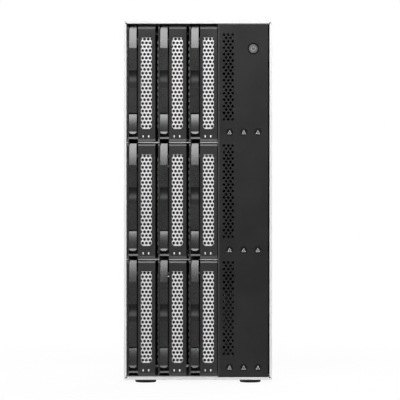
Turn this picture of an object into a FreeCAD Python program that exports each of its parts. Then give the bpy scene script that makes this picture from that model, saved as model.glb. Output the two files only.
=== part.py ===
import FreeCAD, Part
import math
import os

# Nine-bay tower disk enclosure, in millimetres.
# X runs to the right seen from the front, Y runs from the front to the rear and Z runs up.
# The origin is the middle of the footprint, on the surface that the feet stand on.

V = FreeCAD.Vector

# Overall size
WIDTH = 161.0
DEPTH = 293.0
HEIGHT = 393.0

# Outer shell and feet
FOOT_HEIGHT = 3.5
FOOT_RADIUS = 11.5
FOOT_X = 57.0
FOOT_Y = 129.0
SHELL_WALL = 1.6
SHELL_CORNER = 2.2
RIM_WIDTH = 2.8
RIM_DEPTH = 12.0
MITRE_SLOT = 1.4
MITRE_REACH = 1.5
MITRE_DEPTH = 10.0
THUMBSCREW_HEAD = 6.5
PANEL_RECESS = 1.5
PANEL_SHEET = 1.2

FRONT_Y = -DEPTH / 2
PANEL_Y = DEPTH / 2 - THUMBSCREW_HEAD
SHELL_REAR_Y = PANEL_Y + PANEL_RECESS
PANEL_INNER_Y = PANEL_Y - PANEL_SHEET
INNER_X = WIDTH / 2 - SHELL_WALL
INNER_BOTTOM = FOOT_HEIGHT + SHELL_WALL
INNER_TOP = HEIGHT - SHELL_WALL
MOUTH_X = WIDTH / 2 - RIM_WIDTH
MOUTH_BOTTOM = FOOT_HEIGHT + RIM_WIDTH
MOUTH_TOP = HEIGHT - RIM_WIDTH
RIM_BACK_Y = FRONT_Y + RIM_DEPTH

# Drive bays: three rows of three upright carriers
ROWS = 3
COLUMNS = 3
ROW_PITCH = 127.0
COLUMN_PITCH = 33.7
CARRIER_WIDTH = 30.6
CARRIER_HEIGHT = 125.25
CARRIER_LEFT = -76.95
CARRIER_BOTTOM = 7.85
FACE_Y = FRONT_Y + 1.5
SHELF_SHEET = 1.1
SHELF_GAP = 0.3

# Carrier front, measured from its own lower left front corner
FACE_WALL = 1.6
BOX_WALL = 1.2
EDGE_BREAK = 0.35
FRONT_BOX_DEPTH = 22.0
TOP_STEP = 1.1
TOP_STEP_DEPTH = 1.5
TOP_BEVEL_TALL = 1.6
TOP_BEVEL_DEEP = 0.7
CHANNEL_LEFT = 1.75
CHANNEL_RIGHT = 11.9
CHANNEL_WALL = 1.2
CHANNEL_BACK = 13.0
CHANNEL_BACK_TOP = 96.0
LEDGE_BOTTOM = 2.9
LEDGE_TOP = 5.05
WINDOW_LEFT = 14.95
WINDOW_RIGHT = 26.85
WINDOW_BOTTOM = 13.9
WINDOW_TOP = 113.4
WINDOW_CORNER = 2.2
LAMP_HEIGHT = 5.85
LAMP_TALL = 2.4
LAMPS = ((17.4, 1.2), (23.4, 1.5))
FOOT_FLARE = 0.45
FOOT_FLARE_TOP = 3.2
RIB_COUNT = 14
RIB_PITCH = 6.98
RIB_TALL = 3.5
RIB_PROUD = 0.6
RIB_WRAP = 0.4
RIB_LEAN = 0.6
FIRST_RIB = 17.0

# Carrier tray, which holds a 3.5-inch drive on its edge
DRIVE_THICK = 26.1
DRIVE_TALL = 102.0
DRIVE_LONG = 147.0
TRAY_START = 21.0
TRAY_END = 170.0
TRAY_PLATE = 1.5
TRAY_PLATE_LEFT = 1.2
TRAY_RAIL = 2.0
DRIVE_BOTTOM = 11.7
RUNNER_WIDE = 3.0
RUNNER_TALL = 5.0
DRIVE_FRONT = 24.0
SCREW_SPACING_Y = 44.45
SCREW_SPACING_Z = 95.25
SCREW_FROM_REAR = 41.28
SCREW_HOLE_RADIUS = 1.9

# Perforated sheet behind the carrier window
GRILLE_SHEET = 0.6
HOLE_RADIUS = 1.55
HOLE_PITCH_X = 4.0
HOLE_PITCH_Z = 4.113
HOLE_ROWS = 24
LOWEST_HOLE = 16.9

# Ejector lever and its release button
LEVER_LEFT = 2.05
LEVER_RIGHT = 10.4
LEVER_BOTTOM = 31.4
LEVER_TOP = 125.1
LEVER_BACK = 8.0
LEVER_CAM_BACK = 12.5
SLOPE_BACK = 5.1
SLOPE_START = 101.9
SCOOP_TOP = 77.6
SCOOP_MIDDLE = 71.6
SCOOP_DEEP = 2.2
SCOOP_LEDGE = 66.0
SCOOP_LEDGE_DEEP = 0.9
SCOOP_LIP = 64.4
SCOOP_LIP_PROUD = 0.25
SCOOP_BOTTOM = 58.8
TOOTH_TOP = 126.6
PIVOT_Y = 7.5
PIVOT_Z = 111.0
PIN_RADIUS = 1.25
PIN_FIT = 0.05
BUTTON_LEFT = 2.1
BUTTON_RIGHT = 10.3
BUTTON_TOP = 29.9
BUTTON_BOTTOM = 8.3
BUTTON_BACK = 9.0
BUTTON_TRAVEL = 2.5
LIP_PROUD = 0.1
FOOT_ARC = 2.2
TONGUE_LEFT = 4.9
TONGUE_RIGHT = 7.5
TONGUE_BOTTOM = 14.0
TONGUE_TOP = 24.0
KEEPER_LAP = 1.4

# Right-hand bezel
BEZEL_LEFT = 21.75
BEZEL_RIGHT = 76.0
BEZEL_FACE_Y = FRONT_Y + 0.9
BEZEL_WALL = 2.4
BEZEL_RETURN = 11.0
BEZEL_EDGE_WIDE = 1.4
BEZEL_EDGE_DEEP = 0.7
BEZEL_TOP_TALL = 0.8
BEZEL_TOP_DEEP = 0.25
VENT_X = 32.95
VENT_PITCH_X = 4.7
VENT_PITCH_Z = 3.534
VENT_RADIUS = 1.5
VENT_GROUPS = ((286.2, 27), (158.8, 29), (31.8, 29))
INDICATOR_X = (34.3, 49.65, 65.05)
INDICATOR_Z = (16.9, 144.5, 272.4)
INDICATOR_RADIUS = 3.9
INDICATOR_MARK = 4.6
POWER_X = 60.05
POWER_Z = 362.8
POWER_RADIUS = 4.9
POWER_PROUD = 0.7

# Cage, backplane and guide rails
CAGE_SHEET = 0.8
PARTITION_X = 21.55
CAGE_REAR_Y = 60.0
BACKPLANE_Y = FACE_Y + 178.0
BOARD_SHEET = 1.6
RAIL_WIDE = 12.0
RAIL_TALL = 7.8

# Rear panel, fans and power supply
FAN_SIZE = 92.0
FAN_DEEP = 25.0
FAN_BORE = 44.0
FAN_SCREWS = 82.5
FAN_X = -28.5
FAN_Z = (66.0, 196.5, 327.0)
HUB_RADIUS = 17.0
BLADES = 7
BLADE_LEAN = 42.0
GUARD_WIRE = 0.8
GUARD_RINGS = (12.0, 22.5, 33.0, 43.5)
THUMBSCREWS = ((-73.2, 131.0), (-73.2, 262.0), (73.2, 131.0), (73.2, 262.0), (24.0, 385.2), (24.0, 11.4))
PSU_LEFT = 30.5
PSU_WIDE = 40.5
PSU_BOTTOM = 10.0
PSU_TALL = 81.5
PSU_LONG = 150.0
PSU_FAN_Z = 31.5
PSU_FAN_RADIUS = 18.5
INLET_Z = 73.5
PRONGS = ((-6.5, -1.5), (0.0, 2.5), (6.5, -1.5))
PRONG_RECESS = 4.0
CONTROLLER_X = 72.0
CHIPS = ((20.0, 270.0, 18.0), (70.0, 300.0, 24.0), (-30.0, 300.0, 22.0), (75.0, 150.0, 20.0))
PORT_Z = (160.0, 196.0, 232.0)


# ---------------------------------------------------------------- helpers

def block(x0, x1, y0, y1, z0, z1):
    """Box between two corners."""
    return Part.makeBox(x1 - x0, y1 - y0, z1 - z0, V(x0, y0, z0))


def rod_x(y, z, x0, x1, radius):
    """Round bar along X."""
    return Part.makeCylinder(radius, x1 - x0, V(x0, y, z), V(1, 0, 0))


def rod_y(x, z, y0, y1, radius):
    """Round bar along Y."""
    return Part.makeCylinder(radius, y1 - y0, V(x, y0, z), V(0, 1, 0))


def ring_y(x, y, z, radius, wire):
    """Round wire ring about an axis along Y."""
    return Part.makeTorus(radius, wire, V(x, y, z), V(0, 1, 0))


def joined(shapes):
    """All shapes fused to one solid, with the seams between flush faces removed."""
    first, rest = shapes[0], shapes[1:]
    return first.fuse(rest).removeSplitter() if rest else first


def group(shapes):
    """Separate solids kept together in one node."""
    return Part.makeCompound([solid for shape in shapes for solid in shape.Solids])


def side_profile(points, x0, x1):
    """Solid from x0 to x1 with an outline in the Y-Z plane; a step given as two points is an arc."""
    edges = []
    here = V(x0, *points[0])
    for step in points[1:] + points[:1]:
        if isinstance(step[0], tuple):
            middle, there = V(x0, *step[0]), V(x0, *step[1])
            edges.append(Part.Arc(here, middle, there).toShape())
        else:
            there = V(x0, *step)
            edges.append(Part.LineSegment(here, there).toShape())
        here = there
    return Part.Face(Part.Wire(edges)).extrude(V(x1 - x0, 0, 0))


def front_outline(points, y0, y1):
    """Solid from y0 to y1 with a straight-sided outline in the X-Z plane."""
    corners = [V(x, y0, z) for x, z in points]
    return Part.Face(Part.makePolygon(corners + corners[:1])).extrude(V(0, y1 - y0, 0))


def plan_outline(points, z0, z1):
    """Solid from z0 to z1 with a straight-sided outline in the X-Y plane."""
    corners = [V(x, y, z0) for x, y in points]
    return Part.Face(Part.makePolygon(corners + corners[:1])).extrude(V(0, 0, z1 - z0))


def punched_plate(x0, x1, z0, z1, y0, thick, holes):
    """Flat plate facing the front, with round holes given as (x, z, radius)."""
    corners = [V(x0, y0, z0), V(x1, y0, z0), V(x1, y0, z1), V(x0, y0, z1)]
    wires = [Part.makePolygon(corners + corners[:1])]
    for x, z, radius in holes:
        wires.append(Part.Wire([Part.makeCircle(radius, V(x, y0, z), V(0, 1, 0))]))
    face = Part.makeFace(wires, "Part::FaceMakerBullseye")
    return face.extrude(V(0, thick, 0))


def edges_at(shape, test):
    """Edges of the shape whose every vertex passes the test."""
    return [edge for edge in shape.Edges if edge.Vertexes and all(test(v.Point) for v in edge.Vertexes)]


def same(a, b):
    """Whether two coordinates are equal to a hair."""
    return abs(a - b) < 1e-4


def staggered_holes(centre, pitch_x, pitch_z, lowest, rows, wide_is_even, wide, narrow, radius):
    """Rows of holes in a triangular pattern; wide and narrow give the holes in alternate rows."""
    holes = []
    for row in range(rows):
        count = wide if (row % 2 == 0) == wide_is_even else narrow
        for i in range(count):
            x = centre + (i - (count - 1) / 2) * pitch_x
            holes.append((x, lowest + row * pitch_z, radius))
    return holes


def polar(radius, count, start=0.0):
    """Points spread evenly on a circle."""
    angles = [start + 2 * math.pi * i / count for i in range(count)]
    return [(radius * math.cos(a), radius * math.sin(a)) for a in angles]


# ---------------------------------------------------------------- carriers

def carrier_face():
    """Front wall of a carrier, with its lever channel, window and lamp holes and softened edges."""
    top = CARRIER_HEIGHT - TOP_STEP
    wall = block(0, CARRIER_WIDTH, 0, FACE_WALL, 0, top)
    window = front_outline(
        [
            (WINDOW_LEFT, WINDOW_TOP),
            (WINDOW_RIGHT, WINDOW_TOP),
            (WINDOW_RIGHT, WINDOW_BOTTOM + WINDOW_CORNER),
            (WINDOW_RIGHT - WINDOW_CORNER, WINDOW_BOTTOM),
            (WINDOW_LEFT + WINDOW_CORNER, WINDOW_BOTTOM),
            (WINDOW_LEFT, WINDOW_BOTTOM + WINDOW_CORNER),
        ],
        -1,
        FACE_WALL + 1,
    )
    channel = block(CHANNEL_LEFT, CHANNEL_RIGHT, -1, FACE_WALL + 1, -1, top + 1)
    wall = wall.cut([window, channel])
    low = edges_at(wall, lambda p: same(p.y, 0) and p.z < top - 0.01)
    upright = [e for e in edges_at(wall, lambda p: same(p.y, 0)) if e.Length > top - 1]
    wall = wall.makeChamfer(EDGE_BREAK, [e for e in low if not same(e.Vertexes[0].Point.z, 0)] + upright)
    bevel = side_profile(
        [
            (-TOP_BEVEL_DEEP, top - 2 * TOP_BEVEL_TALL),
            (2 * TOP_BEVEL_DEEP, top + TOP_BEVEL_TALL),
            (-TOP_BEVEL_DEEP, top + TOP_BEVEL_TALL),
        ],
        -1,
        CARRIER_WIDTH + 1,
    )
    lamps = []
    for x, wide in LAMPS:
        z0 = LAMP_HEIGHT - LAMP_TALL / 2
        lamps.append(block(x - wide / 2, x + wide / 2, -1, FACE_WALL + 1, z0, z0 + LAMP_TALL))
    return wall.cut([bevel] + lamps)


def carrier_walls():
    """Top, bottom and side walls of the carrier's front box, and the lever channel's own walls."""
    front = FACE_WALL - 0.4
    back = FRONT_BOX_DEPTH
    top = CARRIER_HEIGHT
    right_wall = CHANNEL_RIGHT + CHANNEL_WALL
    return [
        block(0, CHANNEL_LEFT, front, back, 0, top),
        block(CARRIER_WIDTH - BOX_WALL, CARRIER_WIDTH, front, back, 0, top),
        block(CHANNEL_RIGHT, right_wall, front, back, 0, top),
        block(CHANNEL_RIGHT, CARRIER_WIDTH, front, back, 0, BOX_WALL),
        block(CHANNEL_RIGHT, CARRIER_WIDTH, TOP_STEP_DEPTH, back, top - BOX_WALL, top),
        block(CHANNEL_RIGHT, CARRIER_WIDTH, TOP_STEP_DEPTH, TOP_STEP_DEPTH + 2.5, top - 4.0, top),
        block(
            CHANNEL_LEFT,
            CHANNEL_RIGHT,
            CHANNEL_BACK,
            CHANNEL_BACK + CHANNEL_WALL,
            LEDGE_BOTTOM,
            CHANNEL_BACK_TOP,
        ),
    ]


def carrier_foot():
    """Flared lower edge of the face and the ledge across the foot of the lever channel."""
    flare = [
        (0.1, FOOT_FLARE_TOP + 0.3),
        (-FOOT_FLARE, 0.4),
        (-FOOT_FLARE + 0.3, 0),
        (FACE_WALL, 0),
        (FACE_WALL, FOOT_FLARE_TOP + 0.3),
    ]
    ledge = [
        (0.3, LEDGE_TOP),
        (-0.3, LEDGE_BOTTOM + 0.2),
        (-0.1, LEDGE_BOTTOM),
        (CHANNEL_BACK + CHANNEL_WALL, LEDGE_BOTTOM),
        (CHANNEL_BACK + CHANNEL_WALL, LEDGE_TOP),
    ]
    return [
        side_profile(flare, 0, CHANNEL_LEFT),
        side_profile(flare, CHANNEL_RIGHT, CARRIER_WIDTH),
        side_profile(ledge, CHANNEL_LEFT, CHANNEL_RIGHT),
    ]


def rib_heights():
    """Lower and upper edge of every rib on a carrier's left flank."""
    lowest = FIRST_RIB - RIB_TALL / 2
    return [(lowest + i * RIB_PITCH, lowest + i * RIB_PITCH + RIB_TALL) for i in range(RIB_COUNT)]


def flank_ribs():
    """Short ribs down the carrier's left flank, with fronts that lean back."""
    return [
        side_profile([(0.0, z0), (RIB_LEAN, z1), (20.0, z1), (20.0, z0)], -RIB_PROUD, 0.1)
        for z0, z1 in rib_heights()
    ]


def rib_leans():
    """Wedges that carry the lean of the ribs round onto the face's left edge."""
    return [
        side_profile([(-0.5, z0), (0.0, z0), (RIB_LEAN, z1), (-0.5, z1)], -RIB_PROUD - 1, RIB_WRAP)
        for z0, z1 in rib_heights()
    ]


def carrier_tray():
    """Side plate, upper and lower rails and the two runners behind the carrier's front box."""
    left = TRAY_PLATE_LEFT
    right = left + TRAY_PLATE + DRIVE_THICK + 0.6
    low = DRIVE_BOTTOM - TRAY_RAIL - 0.2
    high = DRIVE_BOTTOM + DRIVE_TALL + 0.2
    middle = CARRIER_WIDTH / 2
    plate = block(left, left + TRAY_PLATE, TRAY_START, TRAY_END, low, high + TRAY_RAIL)
    rear_screws = DRIVE_FRONT + DRIVE_LONG - SCREW_FROM_REAR
    cuts = []
    for y in (rear_screws, rear_screws - SCREW_SPACING_Y):
        for side in (-1, 1):
            z = DRIVE_BOTTOM + DRIVE_TALL / 2 + side * SCREW_SPACING_Z / 2
            cuts.append(rod_x(y, z, left - 1, left + TRAY_PLATE + 1, SCREW_HOLE_RADIUS))
    for y in (34.0, 66.0, 98.0, 130.0):
        cuts.append(block(left - 1, left + TRAY_PLATE + 1, y, y + 22.0, 24.0, 101.0))
    pieces = [
        plate.cut(cuts),
        block(left, right, TRAY_START, TRAY_END, low, low + TRAY_RAIL),
        block(left, right, TRAY_START, TRAY_END, high, high + TRAY_RAIL),
    ]
    for z0 in (low - RUNNER_TALL, high + TRAY_RAIL):
        x0 = middle - RUNNER_WIDE / 2
        pieces.append(block(x0, x0 + RUNNER_WIDE, TRAY_START, TRAY_END, z0, z0 + RUNNER_TALL))
    return pieces


def carrier_frame():
    """The moulded carrier: front box, lever channel and drive tray in one piece."""
    frame = joined([carrier_face()] + carrier_walls() + carrier_foot() + flank_ribs() + carrier_tray())
    notch = block(CHANNEL_LEFT, CHANNEL_RIGHT, -5, FRONT_BOX_DEPTH + 1, -1, LEDGE_BOTTOM)
    tongue_slot = block(
        TONGUE_LEFT - 0.25,
        TONGUE_RIGHT + 0.25,
        CHANNEL_BACK - 1,
        CHANNEL_BACK + 3,
        TONGUE_BOTTOM - BUTTON_TRAVEL - 0.3,
        TONGUE_TOP + 0.3,
    )
    pin_bore = rod_x(PIVOT_Y, PIVOT_Z, 1.0, CHANNEL_RIGHT + CHANNEL_WALL + 1, PIN_RADIUS + PIN_FIT)
    return frame.cut([notch, tongue_slot, pin_bore] + rib_leans())


def grille():
    """Perforated sheet held behind the carrier's window; the outermost holes are cut by its edge."""
    centre = (WINDOW_LEFT + WINDOW_RIGHT) / 2
    holes = staggered_holes(
        centre, HOLE_PITCH_X, HOLE_PITCH_Z, LOWEST_HOLE, HOLE_ROWS, True, 3, 4, HOLE_RADIUS
    )
    left = CHANNEL_RIGHT + CHANNEL_WALL
    right = CARRIER_WIDTH - BOX_WALL
    return punched_plate(
        left, right, WINDOW_BOTTOM - 2.5, WINDOW_TOP + 2.5, FACE_WALL, GRILLE_SHEET, holes
    )


def lever():
    """Ejector lever with its thumb scoop, upper slope and cam tooth, and its pivot pin."""
    outline = [
        (0.8, LEVER_BOTTOM),
        (0.0, LEVER_BOTTOM + 0.9),
        (0.0, SCOOP_BOTTOM),
        (-SCOOP_LIP_PROUD, SCOOP_LIP),
        (SCOOP_LEDGE_DEEP, SCOOP_LEDGE),
        ((SCOOP_DEEP, SCOOP_MIDDLE), (0.0, SCOOP_TOP)),
        (0.0, SLOPE_START),
        ((0.43 * SLOPE_BACK, (SLOPE_START + LEVER_TOP) / 2), (SLOPE_BACK, LEVER_TOP)),
        (9.0, LEVER_TOP),
        (9.6, TOOTH_TOP),
        (12.0, TOOTH_TOP),
        (LEVER_CAM_BACK, LEVER_TOP - 3),
        (LEVER_CAM_BACK, 104.0),
        (LEVER_BACK, 99.0),
        (LEVER_BACK, LEVER_BOTTOM + 1.5),
        (LEVER_BACK - 1.5, LEVER_BOTTOM),
    ]
    body = side_profile(outline, LEVER_LEFT, LEVER_RIGHT)
    fronts = [
        edge
        for edge in body.Edges
        if edge.Vertexes[0].Point.x == edge.Vertexes[-1].Point.x
        and all(v.Point.y < 9.01 and v.Point.z > LEVER_BOTTOM + 0.5 for v in edge.Vertexes)
        and not any(same(v.Point.y, LEVER_BACK) for v in edge.Vertexes)
        and not all(same(v.Point.z, LEVER_TOP) for v in edge.Vertexes)
    ]
    body = body.makeFillet(0.3, fronts)
    taper = front_outline(
        [(LEVER_LEFT - 1, LEVER_TOP + 3), (LEVER_LEFT + 1.1, LEVER_TOP + 3), (LEVER_LEFT + 0.9, LEVER_TOP),
         (LEVER_LEFT, LEVER_TOP - 5), (LEVER_LEFT - 1, LEVER_TOP - 5)],
        -1,
        LEVER_CAM_BACK + 1,
    )
    bore = rod_x(PIVOT_Y, PIVOT_Z, LEVER_LEFT - 1, LEVER_RIGHT + 1, PIN_RADIUS)
    pin = rod_x(PIVOT_Y, PIVOT_Z, 1.1, CHANNEL_RIGHT + CHANNEL_WALL - 0.1, PIN_RADIUS)
    return group([body.cut([taper, bore]), pin])


def release_button():
    """Sliding latch button below the lever, with a flared lip at its foot."""
    outline = [
        (3.1, BUTTON_TOP),
        ((1.15, 20.2), (0.5, 10.9)),
        (-LIP_PROUD, BUTTON_BOTTOM + 0.4),
        (-LIP_PROUD + 0.15, BUTTON_BOTTOM),
        (BUTTON_BACK, BUTTON_BOTTOM),
        (BUTTON_BACK, BUTTON_TOP),
    ]
    body = side_profile(outline, BUTTON_LEFT, BUTTON_RIGHT)
    middle = (BUTTON_LEFT + BUTTON_RIGHT) / 2
    half = (BUTTON_RIGHT - BUTTON_LEFT) / 2
    radius = (half * half + FOOT_ARC * FOOT_ARC) / (2 * FOOT_ARC)
    round_foot = rod_y(middle, BUTTON_BOTTOM + radius, -3, BUTTON_BACK, radius + 0.02)
    upper = block(BUTTON_LEFT, BUTTON_RIGHT, -3, BUTTON_BACK, BUTTON_BOTTOM + FOOT_ARC, BUTTON_TOP)
    body = body.common(joined([round_foot, upper]))
    behind = CHANNEL_BACK + CHANNEL_WALL + 0.25
    tongue = block(TONGUE_LEFT, TONGUE_RIGHT, BUTTON_BACK - 0.5, behind + 0.25, TONGUE_BOTTOM, TONGUE_TOP)
    keeper = block(
        TONGUE_LEFT - KEEPER_LAP,
        TONGUE_RIGHT + KEEPER_LAP,
        behind,
        behind + 1.45,
        TONGUE_BOTTOM,
        TONGUE_TOP - 2,
    )
    return joined([body, tongue, keeper])


def bay_corner(row, column):
    """Lower left front corner of a carrier; rows count from the top and columns from the left."""
    x = CARRIER_LEFT + (column - 1) * COLUMN_PITCH
    z = CARRIER_BOTTOM + (ROWS - row) * ROW_PITCH
    return V(x, FACE_Y, z)


def each_bay():
    """Name suffix and corner of every bay."""
    for row in range(1, ROWS + 1):
        for column in range(1, COLUMNS + 1):
            yield f"r{row}c{column}", bay_corner(row, column)


# ---------------------------------------------------------------- shell and cage

def outer_shell():
    """Wrap-around cover with a thick hemmed front rim, mitred inside corners and rear screw tabs."""
    outer = block(-WIDTH / 2, WIDTH / 2, FRONT_Y, SHELL_REAR_Y, FOOT_HEIGHT, HEIGHT)
    long_edges = [e for e in outer.Edges if same(e.Length, SHELL_REAR_Y - FRONT_Y)]
    outer = outer.makeFillet(SHELL_CORNER, long_edges)
    rim_edges = edges_at(outer, lambda p: same(p.y, FRONT_Y))
    outer = outer.makeChamfer(0.3, rim_edges)
    inside = block(-INNER_X, INNER_X, RIM_BACK_Y, SHELL_REAR_Y + 1, INNER_BOTTOM, INNER_TOP)
    mouth = block(-MOUTH_X, MOUTH_X, FRONT_Y - 1, RIM_BACK_Y + 1, MOUTH_BOTTOM, MOUTH_TOP)
    slots = []
    for side in (-1, 1):
        for z, up in ((MOUTH_BOTTOM, -1), (MOUTH_TOP, 1)):
            x = side * MOUTH_X
            half = MITRE_SLOT * math.sqrt(0.5)
            corners = [
                (x - side * half, z),
                (x, z - up * half),
                (x + side * MITRE_REACH, z + up * (MITRE_REACH - half)),
                (x + side * (MITRE_REACH - half), z + up * MITRE_REACH),
            ]
            slots.append(front_outline(corners, FRONT_Y - 1, FRONT_Y + MITRE_DEPTH))
    shell = outer.cut([inside, mouth] + slots)
    return joined([shell] + rear_tabs())


def rear_tabs():
    """Ears inside the shell's rear edge that take the rear panel's thumbscrews."""
    tabs = []
    back = PANEL_INNER_Y
    for x, z in THUMBSCREWS:
        if abs(x) > 60:
            edge = math.copysign(INNER_X + 0.2, x)
            tab = block(min(x, edge), max(x, edge), back - 2, back, z - 6, z + 6)
        else:
            edge = INNER_TOP + 0.2 if z > HEIGHT / 2 else INNER_BOTTOM - 0.2
            tab = block(x - 6, x + 6, back - 2, back, min(z, edge), max(z, edge))
        ear = rod_y(x, z, back - 2, back, 6.0)
        tabs.append(joined([tab, ear]).cut(rod_y(x, z, back - 3, back + 1, 1.9)))
    return tabs


def shelf_height(row):
    """Middle of the sheet under a row of carriers."""
    return CARRIER_BOTTOM + (ROWS - row) * ROW_PITCH - SHELF_GAP - SHELF_SHEET / 2


def shelf(row):
    """Sheet between two rows of carriers, notched at its front edge for the lever teeth."""
    z0 = shelf_height(row) - SHELF_SHEET / 2
    z1 = z0 + SHELF_SHEET
    sheet = block(-INNER_X + CAGE_SHEET, PARTITION_X, FACE_Y - 0.3, BACKPLANE_Y - 6.5, z0, z1)
    corner = block(-WIDTH / 2, -MOUTH_X + 0.1, FRONT_Y - 1, RIM_BACK_Y + 0.1, z0 - 1, z1 + 1)
    notches = []
    for column in range(1, COLUMNS + 1):
        left = bay_corner(row, column).x
        notches.append(
            front_outline(
                [
                    (left + CHANNEL_LEFT - 0.3, z0 - 1),
                    (left + CHANNEL_RIGHT + 0.2, z0 - 1),
                    (left + CHANNEL_RIGHT + 0.2, z1 + 1),
                    (left + CHANNEL_LEFT - 0.3, z1 + 1),
                ],
                FRONT_Y - 1,
                FACE_Y + 16.5,
            )
        )
    rear_lip = block(
        -INNER_X + CAGE_SHEET, PARTITION_X, BACKPLANE_Y - 7.3, BACKPLANE_Y - 6.5, z1 - 0.2, z1 + 6
    )
    gaps = []
    for column in range(1, COLUMNS + 1):
        left = bay_corner(row, column).x
        gaps.append(block(left - 1, left + CARRIER_WIDTH, BACKPLANE_Y - 8, BACKPLANE_Y - 6, z1, z1 + 7))
    return joined([sheet.cut([corner] + notches), rear_lip.cut(gaps)])


def bay_floor():
    """Bottom sheet of the bays; its front edge shows as a bright lip below the lowest carriers."""
    z1 = shelf_height(ROWS) + SHELF_SHEET / 2
    floor = block(-INNER_X + CAGE_SHEET, PARTITION_X, FRONT_Y + 0.6, CAGE_REAR_Y, MOUTH_BOTTOM, z1)
    corner = block(-WIDTH / 2, -MOUTH_X + 0.1, FRONT_Y - 1, RIM_BACK_Y + 0.1, 0, z1 + 1)
    floor = floor.cut(corner)
    slots = [block(-72 + i * 16, -64 + i * 16, 38, 56, 0, z1 + 1) for i in range(6)]
    return floor.cut(slots)


def drive_cage():
    """Bent sheet over and beside the bays: left wall, roof, partition and their folded flanges."""
    front = RIM_BACK_Y + 0.2
    left = -INNER_X
    sheet = CAGE_SHEET
    right = PARTITION_X + sheet
    pieces = [
        block(left, left + sheet, front, CAGE_REAR_Y, INNER_BOTTOM, INNER_TOP),
        block(left, right, front, CAGE_REAR_Y, INNER_TOP - sheet, INNER_TOP),
        block(PARTITION_X, right, front, CAGE_REAR_Y, INNER_BOTTOM, INNER_TOP),
        block(left, left + 10, front, CAGE_REAR_Y, INNER_BOTTOM, MOUTH_BOTTOM),
        block(PARTITION_X - 9, right, front, CAGE_REAR_Y, INNER_BOTTOM, MOUTH_BOTTOM),
    ]
    header = block(left, right, front, front + sheet, MOUTH_TOP - 2.7, INNER_TOP)
    notches = []
    for column in range(1, COLUMNS + 1):
        x = bay_corner(1, column).x
        notches.append(block(x + CHANNEL_LEFT - 0.3, x + CHANNEL_RIGHT + 0.2, front - 1, front + 2,
                             MOUTH_TOP - 3, MOUTH_TOP))
    pieces.append(header.cut(notches))
    cable_ways = [block(PARTITION_X - 1, right + 1, 39, 54, z, z + 40) for z in (60.0, 176.0, 300.0)]
    return joined(pieces).cut(cable_ways)


def guide_rails():
    """Grooved plastic rails above and below every bay, in which the carrier's runners slide."""
    rails = []
    groove = RUNNER_WIDE + 0.4
    y0 = FACE_Y + 26.0
    y1 = FACE_Y + 165.0
    for row in range(1, ROWS + 1):
        for column in range(1, COLUMNS + 1):
            corner = bay_corner(row, column)
            middle = corner.x + CARRIER_WIDTH / 2
            low = shelf_height(row) + SHELF_SHEET / 2
            lower = block(middle - RAIL_WIDE / 2, middle + RAIL_WIDE / 2, y0, y1, low, low + RAIL_TALL)
            lower = lower.cut(block(middle - groove / 2, middle + groove / 2, y0 - 1, y1 + 1,
                                    corner.z + 4.0, low + RAIL_TALL + 1))
            if row == 1:
                ceiling = INNER_TOP - CAGE_SHEET
            else:
                ceiling = shelf_height(row - 1) - SHELF_SHEET / 2
            foot = corner.z + DRIVE_BOTTOM + DRIVE_TALL + TRAY_RAIL + 0.2 + 1.9
            upper = block(middle - RAIL_WIDE / 2, middle + RAIL_WIDE / 2, y0, y1, foot, ceiling)
            upper = upper.cut(block(middle - groove / 2, middle + groove / 2, y0 - 1, y1 + 1,
                                    foot - 1, foot - 1.9 + RUNNER_TALL + 0.5))
            rails += [lower, upper]
    return group(rails)


def backplane_board():
    """Upright circuit board behind the bays, open above every drive socket for the air."""
    board = block(-INNER_X + CAGE_SHEET, PARTITION_X, BACKPLANE_Y, BACKPLANE_Y + BOARD_SHEET, 10.0, 388.0)
    openings = []
    for _, corner in each_bay():
        openings.append(block(corner.x + 2.5, corner.x + 11.5, BACKPLANE_Y - 1, BACKPLANE_Y + 3,
                              corner.z + 64.0, corner.z + 106.0))
    return board.cut(openings)


def backplane_connectors():
    """One drive socket per bay on the front of the backplane."""
    sockets = []
    for _, corner in each_bay():
        body = block(corner.x + 4.0, corner.x + 10.5, BACKPLANE_Y - 6.4, BACKPLANE_Y,
                     corner.z + 15.0, corner.z + 58.0)
        for z0, z1 in ((17.0, 38.0), (40.5, 55.0)):
            body = body.cut(block(corner.x + 6.0, corner.x + 8.5, BACKPLANE_Y - 8, BACKPLANE_Y - 2.5,
                                  corner.z + z0, corner.z + z1))
        sockets.append(body)
    return group(sockets)


# ---------------------------------------------------------------- bezel and its controls

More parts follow.
